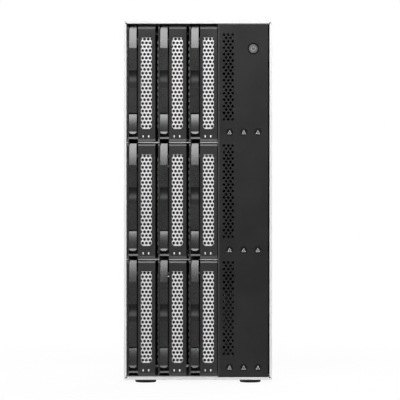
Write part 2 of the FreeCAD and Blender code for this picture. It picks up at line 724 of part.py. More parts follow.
def front_bezel():
    """Moulded cover of the right-hand compartment, with vents, lens holes and a button recess."""
    holes = []
    for lowest, rows in VENT_GROUPS:
        holes += staggered_holes(VENT_X, VENT_PITCH_X, VENT_PITCH_Z, lowest, rows, True, 3, 2, VENT_RADIUS)
    for x in INDICATOR_X:
        for z in INDICATOR_Z:
            holes.append((x, z, INDICATOR_RADIUS))
    holes.append((POWER_X, POWER_Z, POWER_RADIUS + 0.25))
    z0 = MOUTH_BOTTOM + 0.3
    z1 = MOUTH_TOP - 0.3
    plate = punched_plate(BEZEL_LEFT, BEZEL_RIGHT, z0, z1, BEZEL_FACE_Y, BEZEL_WALL, holes)
    edge = plan_outline(
        [
            (BEZEL_LEFT - BEZEL_EDGE_WIDE, BEZEL_FACE_Y + 2 * BEZEL_EDGE_DEEP),
            (BEZEL_LEFT + 2 * BEZEL_EDGE_WIDE, BEZEL_FACE_Y - BEZEL_EDGE_DEEP),
            (BEZEL_LEFT - BEZEL_EDGE_WIDE, BEZEL_FACE_Y - BEZEL_EDGE_DEEP),
        ],
        z0 - 1,
        z1 + 1,
    )
    ridge = side_profile(
        [
            (BEZEL_FACE_Y - BEZEL_TOP_DEEP, z1 - 2 * BEZEL_TOP_TALL),
            (BEZEL_FACE_Y + 2 * BEZEL_TOP_DEEP, z1 + BEZEL_TOP_TALL),
            (BEZEL_FACE_Y - BEZEL_TOP_DEEP, z1 + BEZEL_TOP_TALL),
        ],
        BEZEL_LEFT - 1,
        BEZEL_RIGHT + 1,
    )
    dish = Part.makeCone(POWER_RADIUS + 1.45, POWER_RADIUS + 0.25, 1.2, V(POWER_X, BEZEL_FACE_Y, POWER_Z),
                         V(0, 1, 0))
    back = BEZEL_FACE_Y + BEZEL_RETURN
    front = BEZEL_FACE_Y + BEZEL_WALL - 0.4
    walls = [
        block(BEZEL_LEFT, BEZEL_LEFT + 1.4, front, back, z0, z1),
        block(BEZEL_RIGHT - 1.8, BEZEL_RIGHT, front, back, z0, z1),
        block(BEZEL_LEFT, BEZEL_RIGHT, front, back, z0, z0 + 1.8),
        block(BEZEL_LEFT, BEZEL_RIGHT, front, back, z1 - 1.8, z1),
    ]
    return joined([plate.cut([dish, edge, ridge])] + walls)


def indicator_lenses():
    """Round dark lens discs, each with a triangular pocket for its light mark."""
    lenses = []
    front = BEZEL_FACE_Y + 0.25
    for x in INDICATOR_X:
        for z in INDICATOR_Z:
            disc = rod_y(x, z, front, front + 2.6, INDICATOR_RADIUS - 0.12)
            half = INDICATOR_MARK / 2
            mark = front_outline([(x - half, z - half), (x + half, z - half), (x, z + half)],
                                 front - 1, front + 0.6)
            lenses.append(disc.cut(mark))
    return group(lenses)


def power_button():
    """Round push button with a softened edge, a stem and a retaining collar."""
    front = BEZEL_FACE_Y - POWER_PROUD
    cap = rod_y(POWER_X, POWER_Z, front, front + 4.2, POWER_RADIUS)
    rim = edges_at(cap, lambda p: same(p.y, front))
    cap = cap.makeFillet(0.9, rim)
    collar = rod_y(POWER_X, POWER_Z, front + 5.0, front + 6.0, POWER_RADIUS + 0.9)
    neck = rod_y(POWER_X, POWER_Z, front + 4.0, front + 5.2, POWER_RADIUS - 0.6)
    stem = rod_y(POWER_X, POWER_Z, front + 5.8, front + 7.4, 1.8)
    return joined([cap, neck, collar, stem])


def front_panel_board():
    """Narrow circuit board behind the bezel with the power switch and the indicator lamps."""
    y0 = BEZEL_FACE_Y + BEZEL_RETURN
    board = block(BEZEL_LEFT + 0.9, BEZEL_RIGHT - 0.5, y0, y0 + BOARD_SHEET, 7.5, 389.0)
    vents = [block(26.5, 39.4, y0 - 1, y0 + 3, z, z + 84.0) for z in (36.0, 164.0, 288.0)]
    switch = block(POWER_X - 3, POWER_X + 3, y0 - 2.4, y0, POWER_Z - 3, POWER_Z + 3)
    lamps = [
        block(x - 2.5, x + 2.5, y0 - 2.0, y0, z - 2.5, z + 2.5) for x in INDICATOR_X for z in INDICATOR_Z
    ]
    return group([board.cut(vents), switch] + lamps)


# ---------------------------------------------------------------- electronics

def controller_board():
    """Upright controller board on standoffs, with its chips and a finned heat sink."""
    x0 = CONTROLLER_X
    board = block(x0, x0 + BOARD_SHEET, -60.0, 129.0, 138.0, 356.0)
    pieces = [board]
    for y in (-54.0, 123.0):
        for z in (144.0, 350.0):
            pieces.append(rod_x(y, z, x0 + BOARD_SHEET, INNER_X, 3.0))
    sink = block(x0 - 15.0, x0, 0.0, 44.0, 190.0, 234.0)
    fins = [block(x0 - 16.0, x0 - 4.0, -1.0, 45.0, 193.0 + i * 5.0, 195.6 + i * 5.0) for i in range(8)]
    pieces.append(sink.cut(fins))
    for y, z, size in CHIPS:
        pieces.append(block(x0 - 2.4, x0, y, y + size, z, z + size))
    return group(pieces)


def io_ports():
    """Metal host sockets on the controller's rear edge, each with a contact tongue."""
    ports = []
    for z in PORT_Z:
        can = block(CONTROLLER_X - 10.0, CONTROLLER_X, 116.0, PANEL_Y + 0.6, z - 13.0, z + 13.0)
        hollow = block(CONTROLLER_X - 9.0, CONTROLLER_X - 1.0, 126.0, PANEL_Y + 2, z - 12.0, z + 12.0)
        tongue = block(CONTROLLER_X - 5.8, CONTROLLER_X - 4.2, 125.0, PANEL_Y - 2.0, z - 10.0, z + 10.0)
        ports.append(joined([can.cut(hollow), tongue]))
    return group(ports)


def power_supply():
    """Slim boxed power supply with a fan bore and an appliance inlet on its rear face."""
    right = PSU_LEFT + PSU_WIDE
    top = PSU_BOTTOM + PSU_TALL
    front = PANEL_INNER_Y - PSU_LONG
    middle = PSU_LEFT + PSU_WIDE / 2
    case = block(PSU_LEFT, right, front, PANEL_INNER_Y, PSU_BOTTOM, top)
    inside = block(PSU_LEFT + 1, right - 1, front + 1, PANEL_INNER_Y - 1, PSU_BOTTOM + 1, top - 1)
    bore = rod_y(middle, PSU_FAN_Z, PANEL_INNER_Y - 3, PANEL_INNER_Y + 1, PSU_FAN_RADIUS)
    inlet_hole = block(middle - 12.1, middle + 12.1, PANEL_INNER_Y - 3, PANEL_INNER_Y + 1,
                       INLET_Z - 10.1, INLET_Z + 10.1)
    vents = [block(PSU_LEFT - 1, right + 1, front + 8 + i * 7, front + 11 + i * 7, 24.0, 78.0)
             for i in range(9)]
    screw_holes = [rod_y(x, z, PANEL_INNER_Y - 3, PANEL_INNER_Y + 1, 1.8) for x, z in psu_screws()]
    fan_seat = block(middle - 20, middle + 20, PANEL_INNER_Y - 16, PANEL_INNER_Y - 1, 11.0, 51.5)
    fan_seat = fan_seat.cut(rod_y(middle, PSU_FAN_Z, PANEL_INNER_Y - 14, PANEL_INNER_Y, PSU_FAN_RADIUS))
    spokes = [block(middle - 19, middle + 19, PANEL_INNER_Y - 16.5, PANEL_INNER_Y - 14, 13.0, 29.5),
              block(middle - 19, middle + 19, PANEL_INNER_Y - 16.5, PANEL_INNER_Y - 14, 33.5, 50.0)]
    shell = joined([case.cut([inside, bore, inlet_hole] + vents + screw_holes), fan_seat.cut(spokes)])
    inlet = block(middle - 12, middle + 12, PANEL_INNER_Y - 18, PANEL_Y + 1.6, INLET_Z - 10, INLET_Z + 10)
    flange = block(middle - 14.5, middle + 14.5, PANEL_Y, PANEL_Y + 2.2, INLET_Z - 12.5, INLET_Z + 12.5)
    well = block(middle - 10.2, middle + 10.2, PANEL_Y - 13, PANEL_Y + 3, INLET_Z - 7.5, INLET_Z + 7.5)
    prongs = []
    for dx, dz in PRONGS:
        x, z = middle + dx, INLET_Z + dz
        prongs.append(block(x - 1, x + 1, PANEL_Y - 14, PANEL_Y - PRONG_RECESS, z - 2, z + 2))
    socket = joined([joined([inlet, flange]).cut(well)] + prongs)
    return group([shell, socket])


def rotor(x, z, y0, y1, hub, tip, blades, lean):
    """Fan rotor: a round hub with slanted flat blades cut to a circle."""
    middle = (y0 + y1) / 2
    centre = rod_y(x, z, y0, y1, hub)
    reach = rod_y(x, z, y0 + 0.8, y1 - 0.8, tip)
    vanes = []
    for i in range(blades):
        chord = (y1 - y0) * 1.25
        front, back = middle - chord / 2, middle + chord / 2
        vane = block(x + hub - 1.0, x + tip + 2.0, front, back, z - 0.7, z + 0.7)
        vane.rotate(V(x, middle, z), V(1, 0, 0), lean)
        vane.rotate(V(x, middle, z), V(0, 1, 0), 360.0 * i / blades)
        vanes.append(vane.common(reach))
    return joined([centre] + vanes)


def fan_rotor(z):
    """Rotor of one rear fan."""
    front, back = PANEL_INNER_Y - 20.0, PANEL_INNER_Y - 1.5
    return rotor(FAN_X, z, front, back, HUB_RADIUS, FAN_BORE - 1.6, BLADES, BLADE_LEAN)


def psu_fan_rotor():
    """Rotor of the power supply's own small fan."""
    x = PSU_LEFT + PSU_WIDE / 2
    front, back = PANEL_INNER_Y - 13.4, PANEL_INNER_Y - 1.0
    return rotor(x, PSU_FAN_Z, front, back, 8.0, PSU_FAN_RADIUS - 1.0, 5, BLADE_LEAN)


def fan_frames():
    """Square fan housings with their motor struts, one per fan."""
    frames = []
    for z in FAN_Z:
        y0 = PANEL_INNER_Y - FAN_DEEP
        half = FAN_SIZE / 2
        body = block(FAN_X - half, FAN_X + half, y0, PANEL_INNER_Y, z - half, z + half)
        corners = [e for e in body.Edges if same(e.Length, FAN_DEEP)]
        body = body.makeFillet(4.0, corners)
        cuts = [rod_y(FAN_X, z, y0 - 1, PANEL_INNER_Y + 1, FAN_BORE)]
        for dx in (-1, 1):
            for dz in (-1, 1):
                cuts.append(rod_y(FAN_X + dx * FAN_SCREWS / 2, z + dz * FAN_SCREWS / 2, y0 - 1,
                                  PANEL_INNER_Y + 1, 2.2))
        struts = [rod_y(FAN_X, z, y0, y0 + 4.0, HUB_RADIUS - 1)]
        for angle in (45.0, 135.0, 225.0, 315.0):
            strut = block(FAN_X + HUB_RADIUS - 3, FAN_X + FAN_BORE + 1, y0, y0 + 4.0, z - 1.8, z + 1.8)
            strut.rotate(V(FAN_X, y0, z), V(0, 1, 0), angle)
            struts.append(strut)
        frames.append(joined([body.cut(cuts)] + struts))
    return group(frames)


def fan_guards():
    """Welded wire finger guards: rings on four radial wires that end in screw loops."""
    guards = []
    reach = FAN_SCREWS / math.sqrt(2)
    wire_y = PANEL_Y + GUARD_WIRE
    for z in FAN_Z:
        guard = ring_y(FAN_X, wire_y + 1.3, z, GUARD_RINGS[0], GUARD_WIRE)
        for angle in (45.0, 135.0, 225.0, 315.0):
            spoke = rod_x(wire_y, z, FAN_X + GUARD_RINGS[0] - 0.5, FAN_X + reach - 3.3, GUARD_WIRE)
            spoke.rotate(V(FAN_X, wire_y, z), V(0, 1, 0), angle)
            guard = guard.fuse(spoke)
        for dx in (-1, 1):
            for dz in (-1, 1):
                x = FAN_X + dx * FAN_SCREWS / 2
                guard = guard.fuse(ring_y(x, wire_y, z + dz * FAN_SCREWS / 2, 3.2, GUARD_WIRE))
        for radius in GUARD_RINGS[1:]:
            guard = guard.fuse(ring_y(FAN_X, wire_y + 1.3, z, radius, GUARD_WIRE))
        guards.append(guard)
    return group(guards)


def rear_panel():
    """Sheet closing the rear, open for the fans, the host sockets and the power supply."""
    holes = [(FAN_X, z, FAN_BORE - 1.0) for z in FAN_Z]
    for z in FAN_Z:
        for dx in (-1, 1):
            for dz in (-1, 1):
                holes.append((FAN_X + dx * FAN_SCREWS / 2, z + dz * FAN_SCREWS / 2, 2.3))
    holes += [(x, z, 2.2) for x, z in THUMBSCREWS]
    holes += psu_grille_holes()
    holes += [(x, z, 1.9) for x, z in psu_screws()]
    for z in (140.0, 290.0, 310.0, 330.0):
        holes += [(45.0 + i * 7.0, z, 2.4) for i in range(4)]
    panel = punched_plate(-INNER_X + 0.2, INNER_X - 0.2, INNER_BOTTOM + 0.2, INNER_TOP - 0.2,
                          PANEL_INNER_Y, PANEL_SHEET, holes)
    y0, y1 = PANEL_INNER_Y - 1, PANEL_Y + 1
    middle = PSU_LEFT + PSU_WIDE / 2
    cuts = [block(CONTROLLER_X - 10.2, CONTROLLER_X + 0.2, y0, y1, z - 13.2, z + 13.2) for z in PORT_Z]
    cuts.append(block(middle - 12.3, middle + 12.3, y0, y1, INLET_Z - 10.3, INLET_Z + 10.3))
    return panel.cut(cuts)


def psu_grille_holes():
    """Finger-guard holes in front of the power supply's fan."""
    x = PSU_LEFT + PSU_WIDE / 2
    holes = [(x, PSU_FAN_Z, 1.7)]
    for radius, count in ((5.0, 6), (10.0, 12), (15.0, 18)):
        holes += [(x + dx, PSU_FAN_Z + dz, 1.7) for dx, dz in polar(radius, count)]
    return holes


def psu_screws():
    """Places of the power supply's three fixing screws."""
    left = PSU_LEFT + 3.2
    right = PSU_LEFT + PSU_WIDE - 3.2
    return ((left, 56.5), (right, 56.5), (right, PSU_BOTTOM + PSU_TALL - 3.6))


def panel_screws():
    """Thumbscrews of the rear panel, the fans' screws and the power supply's screws."""
    screws = []
    for x, z in THUMBSCREWS:
        end = PANEL_Y + THUMBSCREW_HEAD
        head = rod_y(x, z, PANEL_Y, end, 4.4)
        slot = block(x - 5, x + 5, end - 1.2, end + 1, z - 0.6, z + 0.6)
        shank = rod_y(x, z, PANEL_Y - 9.0, PANEL_Y + 0.5, 1.75)
        screws.append(joined([head.cut(slot), shank]))
    for fan in FAN_Z:
        for dx in (-1, 1):
            for dz in (-1, 1):
                x = FAN_X + dx * FAN_SCREWS / 2
                z = fan + dz * FAN_SCREWS / 2
                screws.append(pan_screw(x, z, PANEL_Y + 2 * GUARD_WIRE, 4.6, 2.1, 2.0, 11.0))
    for x, z in psu_screws():
        screws.append(pan_screw(x, z, PANEL_Y, 3.0, 1.8, 1.6, 5.0))
    return group(screws)


def pan_screw(x, z, y, head_radius, head_tall, shank_radius, shank_long):
    """Low-headed screw with a cross recess, driven in from the rear."""
    head = rod_y(x, z, y, y + head_tall, head_radius)
    outer = edges_at(head, lambda p: same(p.y, y + head_tall))
    head = head.makeFillet(head_tall * 0.5, outer)
    cross = [block(x - 2, x + 2, y + head_tall - 1.2, y + head_tall + 1, z - 0.4, z + 0.4),
             block(x - 0.4, x + 0.4, y + head_tall - 1.2, y + head_tall + 1, z - 2, z + 2)]
    shank = rod_y(x, z, y - shank_long, y + 0.3, shank_radius)
    return joined([head.cut(cross), shank])


def feet():
    """Four round rubber feet with a rounded lower edge."""
    pads = []
    for x in (-FOOT_X, FOOT_X):
        for y in (-FOOT_Y, FOOT_Y):
            pad = Part.makeCylinder(FOOT_RADIUS, FOOT_HEIGHT, V(x, y, 0))
            lower = edges_at(pad, lambda p: same(p.z, 0))
            pads.append(pad.makeFillet(1.6, lower))
    return group(pads)


# ---------------------------------------------------------------- assembly

def carrier_nodes():
    """The four pieces of every carrier, set in their bays."""
    pieces = {
        "carrier_frame": carrier_frame(),
        "carrier_grille": grille(),
        "ejector_lever": lever(),
        "release_button": release_button(),
    }
    nodes = {}
    for suffix, corner in each_bay():
        for name, piece in pieces.items():
            placed = piece.copy()
            placed.translate(corner)
            nodes[f"{name}_{suffix}"] = placed
    return nodes


def all_nodes():
    """Every node of the enclosure by name."""
    nodes = {
        "outer_shell": outer_shell(),
        "drive_cage": drive_cage(),
        "bay_floor": bay_floor(),
        "bay_shelf_lower": shelf(2),
        "bay_shelf_upper": shelf(1),
        "guide_rails": guide_rails(),
        "backplane_board": backplane_board(),
        "backplane_connectors": backplane_connectors(),
        "front_bezel": front_bezel(),
        "indicator_lenses": indicator_lenses(),
        "power_button": power_button(),
        "front_panel_board": front_panel_board(),
        "controller_board": controller_board(),
        "io_ports": io_ports(),
        "power_supply": power_supply(),
        "psu_fan_rotor": psu_fan_rotor(),
        "rear_panel": rear_panel(),
        "fan_frames": fan_frames(),
        "fan_guards": fan_guards(),
        "panel_screws": panel_screws(),
        "feet": feet(),
    }
    for name, z in zip(("lower", "middle", "upper"), FAN_Z):
        nodes[f"fan_rotor_{name}"] = fan_rotor(z)
    nodes.update(carrier_nodes())
    return nodes


def main():
    """Write one STEP file per node."""
    os.makedirs("parts", exist_ok=True)
    for name, shape in all_nodes().items():
        if not shape.isValid():
            print("not valid:", name)
        shape.exportStep(f"parts/{name}.step")
        print(f"{name}: {len(shape.Solids)} solids, {shape.Volume / 1000:.1f} cm3")


main()
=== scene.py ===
import logging
import math
from dataclasses import dataclass
from enum import Enum

import bmesh
import bpy
from mathutils import Matrix, Vector


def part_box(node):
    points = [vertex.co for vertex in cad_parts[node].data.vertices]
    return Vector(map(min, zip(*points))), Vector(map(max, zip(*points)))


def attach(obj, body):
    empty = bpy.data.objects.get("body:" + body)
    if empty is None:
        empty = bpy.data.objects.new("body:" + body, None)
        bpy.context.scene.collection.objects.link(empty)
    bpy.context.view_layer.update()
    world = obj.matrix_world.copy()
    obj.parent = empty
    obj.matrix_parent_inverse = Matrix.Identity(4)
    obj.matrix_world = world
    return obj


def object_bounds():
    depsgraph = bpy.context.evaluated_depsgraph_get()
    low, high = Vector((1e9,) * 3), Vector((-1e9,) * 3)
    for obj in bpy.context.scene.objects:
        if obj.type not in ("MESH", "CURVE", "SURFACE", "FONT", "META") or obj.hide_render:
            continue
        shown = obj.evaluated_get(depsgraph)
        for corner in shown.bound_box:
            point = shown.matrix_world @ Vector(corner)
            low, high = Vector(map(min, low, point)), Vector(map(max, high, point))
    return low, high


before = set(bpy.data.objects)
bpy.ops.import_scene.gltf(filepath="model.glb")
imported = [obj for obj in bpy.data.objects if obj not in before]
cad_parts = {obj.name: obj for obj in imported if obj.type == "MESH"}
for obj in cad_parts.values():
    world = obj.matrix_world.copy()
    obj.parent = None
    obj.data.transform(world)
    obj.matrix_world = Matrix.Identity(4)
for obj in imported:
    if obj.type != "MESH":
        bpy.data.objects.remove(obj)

"""Upright nine-bay disk enclosure: its finishes, small fittings, lights and camera."""

CAD_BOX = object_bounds()
LOG = logging.getLogger("enclosure")
MM = 0.001
ROW_FOOT = 7.85  # height of the lowest row of carriers, in millimetres
ROW_PITCH = 127.0  # from one row of carriers to the next
SMOOTH_ANGLE = 35.0  # edges blunter than this many degrees are shaded smooth
Triple = tuple[float, float, float]
Colour = Triple


# ---------------------------------------------------------------- shader bench

class Value:
    """A number or mask in a shader; arithmetic on it adds Math nodes."""

    def __init__(self, bench: "Bench", socket: bpy.types.NodeSocket) -> None:
        """Keep the bench that owns the tree and the socket that carries the value."""
        self.bench = bench
        self.socket = socket

    def _math(self, operation: str, other: "Value | float", swapped: bool = False) -> "Value":
        """Add one Math node.

        Args:
            operation: the Math node's operation.
            other: the second operand.
            swapped: whether this value is the second operand instead.

        Returns:
            The node's result.
        """
        first, second = (other, self) if swapped else (self, other)
        node = self.bench.node("ShaderNodeMath", {"operation": operation}, {0: first, 1: second})
        return Value(self.bench, node.outputs[0])

    def __add__(self, other: "Value | float") -> "Value":
        """Sum."""
        return self._math("ADD", other)

    __radd__ = __add__

    def __sub__(self, other: "Value | float") -> "Value":
        """Difference."""
        return self._math("SUBTRACT", other)

    def __rsub__(self, other: float) -> "Value":
        """Difference with this value taken away."""
        return self._math("SUBTRACT", other, swapped=True)

    def __mul__(self, other: "Value | float") -> "Value":
        """Product."""
        return self._math("MULTIPLY", other)

    __rmul__ = __mul__

    def __gt__(self, other: "Value | float") -> "Value":
        """Mask of 1 where this value is the greater."""
        return self._math("GREATER_THAN", other)

    def __lt__(self, other: "Value | float") -> "Value":
        """Mask of 1 where this value is the lesser."""
        return self._math("LESS_THAN", other)

    def __mod__(self, other: float) -> "Value":
        """Remainder that is never negative."""
        return self._math("FLOORED_MODULO", other)

    def clamped(self) -> "Value":
        """The value kept between 0 and 1."""
        return self._math("MAXIMUM", 0.0)._math("MINIMUM", 1.0)

    def smooth(self, low: float, high: float) -> "Value":
        """Ease from 0 at low to 1 at high.

        Args:
            low: the value that gives 0.
            high: the value that gives 1.

        Returns:
            The eased value.
        """
        node = self.bench.node(
            "ShaderNodeMapRange",
            {"interpolation_type": "SMOOTHSTEP"},
            {"Value": self, "From Min": low, "From Max": high},
        )
        return Value(self.bench, node.outputs[0])


class Bench:
    """One node tree and the few ways in which nodes are added to it."""

    def __init__(self, owner: bpy.types.Material | bpy.types.World) -> None:
        """Empty the owner's tree."""
        owner.use_nodes = True
        self.tree = owner.node_tree
        self.tree.nodes.clear()

    def node(
        self,
        kind: str,
        settings: dict[str, object] | None = None,
        inputs: dict[object, object] | None = None,
    ) -> bpy.types.Node:
        """Add a node.

        Args:
            kind: the node's type.
            settings: attributes, set before the sockets.
            inputs: value or link of each socket, by name or number.

        Returns:
            The node.
        """
        node = self.tree.nodes.new(kind)
        for key, value in (settings or {}).items():
            setattr(node, key, value)
        for key, value in (inputs or {}).items():
            self.feed(node.inputs[key], value)
        return node

    def feed(self, socket: bpy.types.NodeSocket, value: object) -> None:
        """Link or set one socket.

        Args:
            socket: the input to feed.
            value: a Value, a socket or a plain number or colour.
        """
        if isinstance(value, Value):
            self.tree.links.new(value.socket, socket)
        elif isinstance(value, bpy.types.NodeSocket):
            self.tree.links.new(value, socket)
        elif isinstance(value, tuple) and len(value) == 3 and socket.type == "RGBA":
            socket.default_value = (*value, 1.0)
        else:
            socket.default_value = value

    def ray(self, *kinds: str) -> Value:
        """Mask of 1 for rays of any of the named kinds."""
        path = self.node("ShaderNodeLightPath")
        seen = Value(self, path.outputs[f"Is {kinds[0]} Ray"])
        for kind in kinds[1:]:
            seen = seen + Value(self, path.outputs[f"Is {kind} Ray"])
        return seen.clamped()


class Finish(Bench):
    """A material with its main shader and what its patterns are made with."""

    def __init__(self, name: str) -> None:
        """Start a material whose patterns follow the piece's own coordinates."""
        self.material = bpy.data.materials.new(name)
        super().__init__(self.material)
        self.shader = self.node("ShaderNodeBsdfPrincipled")
        self.output = self.node("ShaderNodeOutputMaterial", {}, {"Surface": self.shader.outputs[0]})
        self.place = self.node("ShaderNodeTexCoord").outputs["Object"]

    def axes(self) -> tuple[Value, Value, Value]:
        """The surface's X, Y and Z in metres."""
        split = self.node("ShaderNodeSeparateXYZ", {}, {0: self.place})
        return tuple(Value(self, out) for out in split.outputs)

    def stretched(self, scale: Triple) -> bpy.types.NodeSocket:
        """Object coordinates stretched along the axes."""
        return self.node("ShaderNodeMapping", {}, {"Vector": self.place, "Scale": scale}).outputs[0]

    def noise(self, scale: float, detail: float = 3.0, rough: float = 0.5,
              place: bpy.types.NodeSocket | None = None) -> Value:
        """Soft noise.

        Args:
            scale: grains for a metre.
            detail: octaves.
            rough: weight of the finer octaves.
            place: coordinates to read, the object's own if left out.

        Returns:
            The noise, from 0 to 1.
        """
        node = self.node(
            "ShaderNodeTexNoise",
            {},
            {"Vector": place or self.place, "Scale": scale, "Detail": detail, "Roughness": rough},
        )
        return Value(self, node.outputs["Fac"])

    def mix(self, mask: Value | float, low: object, high: object) -> bpy.types.NodeSocket:
        """Blend two colours.

        Args:
            mask: 0 for the first and 1 for the second.
            low: the first colour.
            high: the second colour.

        Returns:
            The blended colour's socket.
        """
        node = self.node("ShaderNodeMix", {"data_type": "RGBA"})
        for number, value in ((0, mask), (6, low), (7, high)):
            self.feed(node.inputs[number], value)
        return node.outputs[2]

    def bump(self, height: Value, strength: float, distance: float) -> bpy.types.NodeSocket:
        """Normal bent by a height.

        Args:
            height: the relief, from 0 to 1.
            strength: how much of it shows.
            distance: the relief's depth in metres.

        Returns:
            The normal's socket.
        """
        node = self.node(
            "ShaderNodeBump", {}, {"Strength": strength, "Distance": distance, "Height": height}
        )
        return node.outputs[0]

    def set(self, **sockets: object) -> bpy.types.Material:
        """Feed the main shader's sockets, with underscores for spaces, and give the material."""
        for name, value in sockets.items():
            self.feed(self.shader.inputs[name.replace("_", " ")], value)
        return self.material


# ---------------------------------------------------------------- finishes

@dataclass(frozen=True)
class Moulding:
    """Spark-eroded moulded plastic with a faint sheen and slight cloudiness."""

    name: str
    colour: float = 0.012
    roughness: float = 0.45
    specular: float = 0.5
    grain: float = 0.35
    grain_size: float = 0.00045
    relief: float = 0.00003
    cloud_scale: float = 38.0
    tones: tuple[float, float] = (0.86, 1.16)
    grip: tuple[float, float] | None = None
    grip_rough: float = 0.3
    # painted shade: how far the thumb grip's colour is darkened, standing in for the shade in the
    # scoop
    grip_painted_shade: float = 0.2
    grip_fade: float = 0.4
    grip_matt: float = 0.3

    def grip_and_shade_mask(self, bench: Finish) -> Value | float:
        """Mask of the matt thumb grip, whose colour is also darkened with painted shade, at the
        same height in every row of bays.
        """
        if self.grip is None:
            return 0.0
        low, high = (edge * MM for edge in self.grip)
        fade = self.grip_fade * MM
        height = (bench.axes()[2] - ROW_FOOT * MM) % (ROW_PITCH * MM)
        return height.smooth(low - fade, low + fade) * (1 - height.smooth(high - fade, high + fade))

    def material(self) -> bpy.types.Material:
        """Build the finish."""
        bench = Finish(self.name)
        grain = bench.noise(1 / self.grain_size, 2.0, 0.6)
        cloud = bench.noise(self.cloud_scale, 3.0, 0.5)
        mask = self.grip_and_shade_mask(bench)
        dark, light = ((self.colour * share,) * 3 for share in self.tones)
        rough = (cloud - 0.5) * 0.1 + (grain - 0.5) * 0.12 + self.roughness + mask * self.grip_rough
        speckle = bench.mix((cloud * 0.7 + grain * 0.3).smooth(0.3, 0.7), dark, light)
        return bench.set(
            # painted shade: the thumb grip's colour is darkened to stand in for the shade in the
            # scoop
            Base_Color=bench.mix(mask, speckle, (self.colour * self.grip_painted_shade,) * 3),
            Roughness=rough.clamped(),
            Metallic=mask * self.grip_matt,
            Specular_IOR_Level=self.specular,
            Normal=bench.bump(grain, self.grain, self.relief),
        )


@dataclass(frozen=True)
class SilverPaint:
    """Fine bead-blasted silver with a trace of handling marks."""

    name: str
    colour: float = 0.78
    roughness: float = 0.42
    metallic: float = 0.35
    bead_scale: float = 2600.0
    cloud_scale: float = 9.0
    tones: tuple[float, float] = (0.96, 1.02)
    relief: float = 0.00002

    def material(self) -> bpy.types.Material:
        """Build the finish."""
        bench = Finish(self.name)
        bead = bench.noise(self.bead_scale, 2.0, 0.6)
        cloud = bench.noise(self.cloud_scale, 4.0, 0.55)
        dull, clean = ((self.colour * share,) * 3 for share in self.tones)
        tone = bench.mix(cloud.smooth(0.3, 0.7), dull, clean)
        return bench.set(
            Base_Color=tone,
            Metallic=self.metallic,
            Roughness=((cloud - 0.5) * 0.12 + (bead - 0.5) * 0.1 + self.roughness).clamped(),
            Normal=bench.bump(bead, 0.25, self.relief),
        )


@dataclass(frozen=True)
class BrushedSheet:
    """Metal sheet or wire with a fine directional grain."""

    name: str
    colour: Colour = (0.7, 0.7, 0.71)
    roughness: float = 0.34
    metallic: float = 1.0
    grain: Triple = (60.0, 4000.0, 4000.0)
    cloud_scale: float = 22.0
    dull: float = 0.86
    relief: float = 0.00002

    def material(self) -> bpy.types.Material:
        """Build the finish."""
        bench = Finish(self.name)
        lines = bench.noise(1.0, 3.0, 0.6, bench.stretched(self.grain))
        cloud = bench.noise(self.cloud_scale, 3.0, 0.5)
        dark = tuple(c * self.dull for c in self.colour)
        return bench.set(
            Base_Color=bench.mix((lines * 0.6 + cloud * 0.4).smooth(0.25, 0.75), dark, self.colour),
            Metallic=self.metallic,
            Roughness=((lines - 0.5) * 0.2 + self.roughness).clamped(),
            Normal=bench.bump(lines, 0.2, self.relief),
        )


@dataclass(frozen=True)
class PowderCoat:
    """Black powder coat with its orange-peel relief."""

    name: str
    colour: float = 0.018
    roughness: float = 0.5
    peel_scale: float = 900.0
    speck_scale: float = 5200.0
    speck_tone: float = 1.9
    relief: float = 0.00005

    def material(self) -> bpy.types.Material:
        """Build the finish."""
        bench = Finish(self.name)
        peel = bench.noise(self.peel_scale, 2.0, 0.5)
        speck = bench.noise(self.speck_scale, 1.0, 0.5)
        dark, light = (self.colour,) * 3, (self.colour * self.speck_tone,) * 3
        return bench.set(
            Base_Color=bench.mix(speck.smooth(0.4, 0.75), dark, light),
            Roughness=((peel - 0.5) * 0.2 + self.roughness).clamped(),
            Normal=bench.bump(peel * 0.7 + speck * 0.3, 0.5, self.relief),
        )


@dataclass(frozen=True)
class Rubber:
    """Dull black rubber with dusty patches."""

    name: str
    clean: Colour = (0.012, 0.012, 0.012)
    dusty: Colour = (0.035, 0.034, 0.033)
    dust_scale: float = 160.0
    pore_scale: float = 3000.0
    relief: float = 0.00004

    def material(self) -> bpy.types.Material:
        """Build the finish."""
        bench = Finish(self.name)
        dust = bench.noise(self.dust_scale, 4.0, 0.6)
        pore = bench.noise(self.pore_scale, 2.0, 0.6)
        return bench.set(
            Base_Color=bench.mix(dust.smooth(0.45, 0.8), self.clean, self.dusty),
            Roughness=(dust * 0.2 + 0.62).clamped(),
            Normal=bench.bump(pore, 0.4, self.relief),
        )


@dataclass(frozen=True)
class GlossPlastic:
    """Smooth plastic with faint mould flow, under a clear coat if it has one."""

    name: str
    colour: Colour = (0.012, 0.012, 0.012)
    roughness: float = 0.14
    coat: float = 0.4
    coat_rough: float = 0.08
    flow_scale: float = 120.0
    flow_tone: float = 1.3

    def material(self) -> bpy.types.Material:
        """Build the finish."""
        bench = Finish(self.name)
        flow = bench.noise(self.flow_scale, 3.0, 0.5)
        light = tuple(c * self.flow_tone for c in self.colour)
        return bench.set(
            Base_Color=bench.mix(flow.smooth(0.35, 0.7), self.colour, light),
            Roughness=((flow - 0.5) * 0.08 + self.roughness).clamped(),
            Coat_Weight=self.coat,
            Coat_Roughness=self.coat_rough,
        )


@dataclass(frozen=True)
class LightGuide:
    """Milky light guide with a faint glow."""

    name: str
    colour: Colour = (0.8, 0.8, 0.8)
    glow: float = 0.06
    milk_scale: float = 420.0
    milk_tone: float = 0.93

    def material(self) -> bpy.types.Material:
        """Build the finish."""
        bench = Finish(self.name)
        milk = bench.noise(self.milk_scale, 2.0, 0.5)
        thin = tuple(c * self.milk_tone for c in self.colour)
        tone = bench.mix(milk.smooth(0.3, 0.7), thin, self.colour)
        return bench.set(
            Base_Color=tone,
            Roughness=(milk * 0.1 + 0.3).clamped(),
            Emission_Color=tone,
            Emission_Strength=self.glow,
        )


